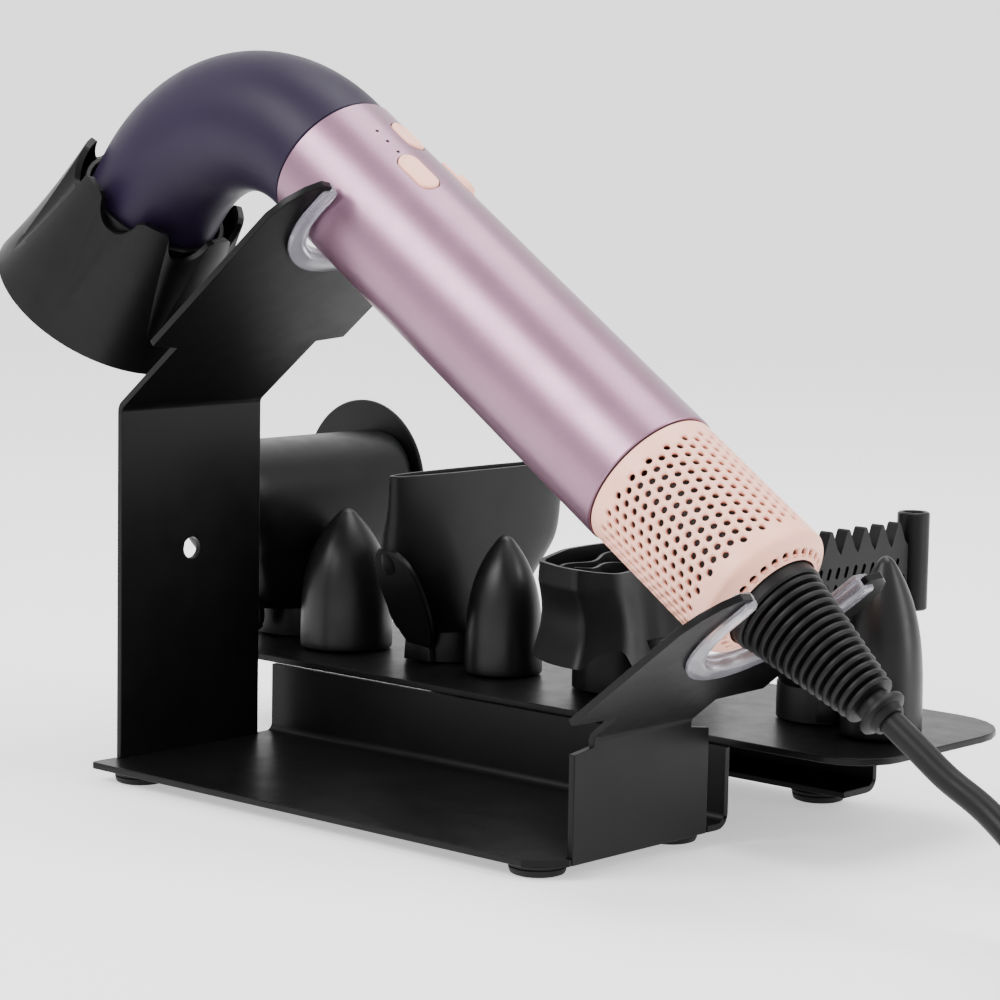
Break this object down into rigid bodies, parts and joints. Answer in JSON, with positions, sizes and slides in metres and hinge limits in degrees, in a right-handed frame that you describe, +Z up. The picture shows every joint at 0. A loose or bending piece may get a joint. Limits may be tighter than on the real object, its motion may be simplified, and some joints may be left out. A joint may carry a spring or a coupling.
{
  "type": "salon styling station",
  "caption": "Bench stand of folded black steel with two lined cradles that hold a curved hair dryer, and a rear shelf with nozzles and bullet pegs.",
  "frame": {"origin": "middle of the object's footprint on the surface it stands on, cord left out", "axes": "+X from the tall cradle to the short one, where the cord leaves; +Y from the open tray to the shelf; +Z up"},
  "size_m": [0.455, 0.1674, 0.1965],
  "materials": {
    "black_steel": "satin powder coat",
    "clear_liner": "clear",
    "foot_rubber": "matte",
    "peg_plastic": "satin",
    "bare_metal": "satin",
    "cord_rubber": "matte",
    "head_soft": "soft touch",
    "handle_lacquer": "metallic lacquer",
    "peach_plastic": "satin",
    "heater_mica": "matte",
    "board_green": "matte",
    "fan_plastic": "satin",
    "nozzle_plastic": "satin"
  },
  "bodies": {
    "stand": {"base_tray": "black_steel", "shelf_plate": "black_steel", "rear_leg": "black_steel", "rear_cradle": "black_steel", "front_cradle": "black_steel", "rear_cradle_liner": "clear_liner", "front_cradle_liner": "clear_liner", "foot_front_left": "foot_rubber", "foot_front_right": "foot_rubber", "foot_middle_left": "foot_rubber", "foot_middle_right": "foot_rubber", "foot_rear_left": "foot_rubber", "foot_rear_right": "foot_rubber", "peg_1": "peg_plastic", "peg_2": "peg_plastic", "peg_3": "peg_plastic", "peg_4": "peg_plastic", "peg_screw_1": "bare_metal", "peg_screw_2": "bare_metal", "peg_screw_3": "bare_metal", "peg_screw_4": "bare_metal", "cord_lead": "cord_rubber", "cord_coil": "cord_rubber", "plug": "cord_rubber", "plug_pin_1": "bare_metal", "plug_pin_2": "bare_metal"},
    "dryer": {"head_shell": "head_soft", "handle_tube": "handle_lacquer", "outlet_ring": "bare_metal", "heater_core": "heater_mica", "control_board": "board_green", "motor_housing": "bare_metal", "filter_core": "bare_metal", "strain_relief": "cord_rubber"},
    "impeller": {"impeller": "fan_plastic"},
    "filter_cage": {"filter_cage": "peach_plastic"},
    "airflow_button": {"airflow_button": "peach_plastic"},
    "temperature_button": {"temperature_button": "peach_plastic"},
    "power_slider": {"power_slider": "peach_plastic"},
    "diffuser": {"diffuser_bowl": "nozzle_plastic", "diffuser_plate": "nozzle_plastic", "diffuser_magnet": "bare_metal"},
    "flyaway": {"flyaway_nozzle": "nozzle_plastic", "flyaway_disc": "nozzle_plastic", "flyaway_magnet": "bare_metal"},
    "concentrator": {"concentrator_nozzle": "nozzle_plastic", "concentrator_magnet": "bare_metal"},
    "wave": {"wave_nozzle": "nozzle_plastic", "wave_magnet": "bare_metal"},
    "comb": {"comb_plate": "nozzle_plastic", "comb_body": "nozzle_plastic", "comb_tube": "nozzle_plastic", "comb_magnet": "bare_metal"}
  },
  "joints": [
    {"name": "dryer_lift", "type": "slide", "parent": "stand", "child": "dryer", "axis": [0.5627, 0, 0.8267], "range_m": [0, 0.06]},
    {"name": "impeller_spin", "type": "hinge", "parent": "dryer", "child": "impeller", "pos_m": [0.05353, -0.03605, 0.10902], "axis": [0.8267, 0, -0.5627], "continuous": true},
    {"name": "cage_twist", "type": "hinge", "parent": "dryer", "child": "filter_cage", "pos_m": [0.09238, -0.03605, 0.08258], "axis": [0.8267, 0, -0.5627], "range_deg": [0, 30]},
    {"name": "airflow_button_press", "type": "slide", "parent": "dryer", "child": "airflow_button", "axis": [-0.5557, -0.1564, -0.8165], "range_m": [0, 0.0006], "stiffness_N_per_m": 400, "springref_m": -0.0002},
    {"name": "temperature_button_press", "type": "slide", "parent": "dryer", "child": "temperature_button", "axis": [-0.5395, 0.284, -0.7926], "range_m": [0, 0.0006], "stiffness_N_per_m": 400, "springref_m": -0.0002},
    {"name": "power_slide", "type": "slide", "parent": "dryer", "child": "power_slider", "axis": [0.8267, 0, -0.5627], "range_m": [0, 0.0024]},
    {"name": "diffuser_pull", "type": "slide", "parent": "dryer", "child": "diffuser", "axis": [-0.6176, 0, -0.7865], "range_m": [0, 0.045]},
    {"name": "flyaway_lift", "type": "slide", "parent": "stand", "child": "flyaway", "axis": [0, 0, 1], "range_m": [0, 0.033]},
    {"name": "concentrator_lift", "type": "slide", "parent": "stand", "child": "concentrator", "axis": [0, 0, 1], "range_m": [0, 0.045]},
    {"name": "wave_lift", "type": "slide", "parent": "stand", "child": "wave", "axis": [0, 0, 1], "range_m": [0, 0.045]},
    {"name": "comb_lift", "type": "slide", "parent": "stand", "child": "comb", "axis": [0, 0, 1], "range_m": [0, 0.045]}
  ]
}
